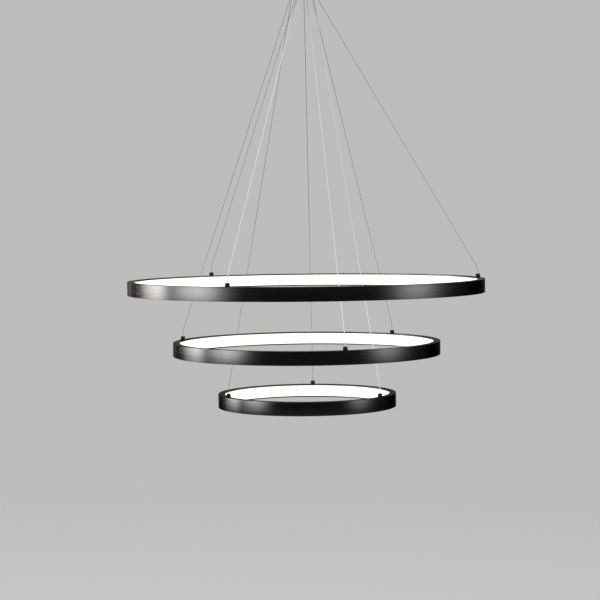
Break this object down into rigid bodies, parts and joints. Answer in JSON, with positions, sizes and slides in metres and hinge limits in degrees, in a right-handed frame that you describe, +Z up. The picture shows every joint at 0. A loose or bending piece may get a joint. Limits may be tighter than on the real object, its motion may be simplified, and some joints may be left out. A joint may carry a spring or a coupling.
{
  "type": "led ring chandelier",
  "caption": "Tiered ring chandelier: slim black rings, lit on their inner faces, hung level by splayed thin wires from a round ceiling canopy.",
  "frame": {"origin": "centre of the canopy on the ceiling plane, midway between the bracket's two screw slots", "axes": "+Z up, towards the ceiling; the lamp hangs at -Z; +X along the bracket's strip; -Y is the side seen in the picture"},
  "size_m": [0.7999, 0.8, 0.985],
  "materials": {
    "zinc_steel": "zinc plated",
    "canopy_black": "black powder coat on steel",
    "black_steel": "glossy black plating",
    "nickel": "nickel plated",
    "white_nylon": "moulded",
    "black_nylon": "moulded",
    "circuit_board": "solder mask",
    "brown_lead": "PVC insulation",
    "clear_jacket": "translucent white jacket",
    "black_aluminium": "brushed along the ring, black anodised",
    "opal_diffuser": "opal, lit from behind",
    "led_strip": "white board with yellow phosphor",
    "steel_wire": "bright stranded steel"
  },
  "bodies": {
    "canopy": {"ceiling_bracket": "zinc_steel", "canopy_shell": "canopy_black", "canopy_screws": "black_steel", "wire_grips": "nickel", "cable_grips": "black_steel", "cable_grip_caps": "black_nylon", "grip_nuts": "zinc_steel", "driver_case": "white_nylon", "driver_lid": "white_nylon", "driver_board": "circuit_board", "terminal_block": "white_nylon", "mains_leads": "brown_lead", "feed_tails": "clear_jacket", "large_wire_1": "steel_wire", "large_wire_2": "steel_wire", "large_feed_cable": "clear_jacket", "medium_wire_1": "steel_wire", "medium_wire_2": "steel_wire", "medium_feed_cable": "clear_jacket", "small_wire_1": "steel_wire", "small_wire_2": "steel_wire", "small_feed_cable": "clear_jacket"},
    "large_ring": {"large_channel": "black_aluminium", "large_diffuser": "opal_diffuser", "large_led_strip": "led_strip", "large_strip_clip": "white_nylon", "large_anchors": "black_steel", "large_anchor_nuts": "zinc_steel"},
    "medium_ring": {"medium_channel": "black_aluminium", "medium_diffuser": "opal_diffuser", "medium_led_strip": "led_strip", "medium_strip_clip": "white_nylon", "medium_anchors": "black_steel", "medium_anchor_nuts": "zinc_steel"},
    "small_ring": {"small_channel": "black_aluminium", "small_diffuser": "opal_diffuser", "small_led_strip": "led_strip", "small_strip_clip": "white_nylon", "small_anchors": "black_steel", "small_anchor_nuts": "zinc_steel"},
    "large_plunger_1": {"large_plunger_1": "nickel"},
    "large_plunger_2": {"large_plunger_2": "nickel"},
    "medium_plunger_1": {"medium_plunger_1": "nickel"},
    "medium_plunger_2": {"medium_plunger_2": "nickel"},
    "small_plunger_1": {"small_plunger_1": "nickel"},
    "small_plunger_2": {"small_plunger_2": "nickel"}
  },
  "joints": [
    {"name": "large_ring_height", "type": "slide", "parent": "canopy", "child": "large_ring", "axis": [0, 0, 1], "range_m": [0, 0.25], "deforming": ["large_wire_1", "large_wire_2", "large_feed_cable"]},
    {"name": "medium_ring_height", "type": "slide", "parent": "canopy", "child": "medium_ring", "axis": [0, 0, 1], "range_m": [0, 0.25], "deforming": ["medium_wire_1", "medium_wire_2", "medium_feed_cable"]},
    {"name": "small_ring_height", "type": "slide", "parent": "canopy", "child": "small_ring", "axis": [0, 0, 1], "range_m": [0, 0.25], "deforming": ["small_wire_1", "small_wire_2", "small_feed_cable"]},
    {"name": "large_plunger_1_press", "type": "slide", "parent": "canopy", "child": "large_plunger_1", "axis": [0, 0, 1], "range_m": [0, 0.002], "stiffness_N_per_m": 400, "springref_m": -0.002},
    {"name": "large_plunger_2_press", "type": "slide", "parent": "canopy", "child": "large_plunger_2", "axis": [0, 0, 1], "range_m": [0, 0.002], "stiffness_N_per_m": 400, "springref_m": -0.002},
    {"name": "medium_plunger_1_press", "type": "slide", "parent": "canopy", "child": "medium_plunger_1", "axis": [0, 0, 1], "range_m": [0, 0.002], "stiffness_N_per_m": 400, "springref_m": -0.002},
    {"name": "medium_plunger_2_press", "type": "slide", "parent": "canopy", "child": "medium_plunger_2", "axis": [0, 0, 1], "range_m": [0, 0.002], "stiffness_N_per_m": 400, "springref_m": -0.002},
    {"name": "small_plunger_1_press", "type": "slide", "parent": "canopy", "child": "small_plunger_1", "axis": [0, 0, 1], "range_m": [0, 0.002], "stiffness_N_per_m": 400, "springref_m": -0.002},
    {"name": "small_plunger_2_press", "type": "slide", "parent": "canopy", "child": "small_plunger_2", "axis": [0, 0, 1], "range_m": [0, 0.002], "stiffness_N_per_m": 400, "springref_m": -0.002}
  ]
}
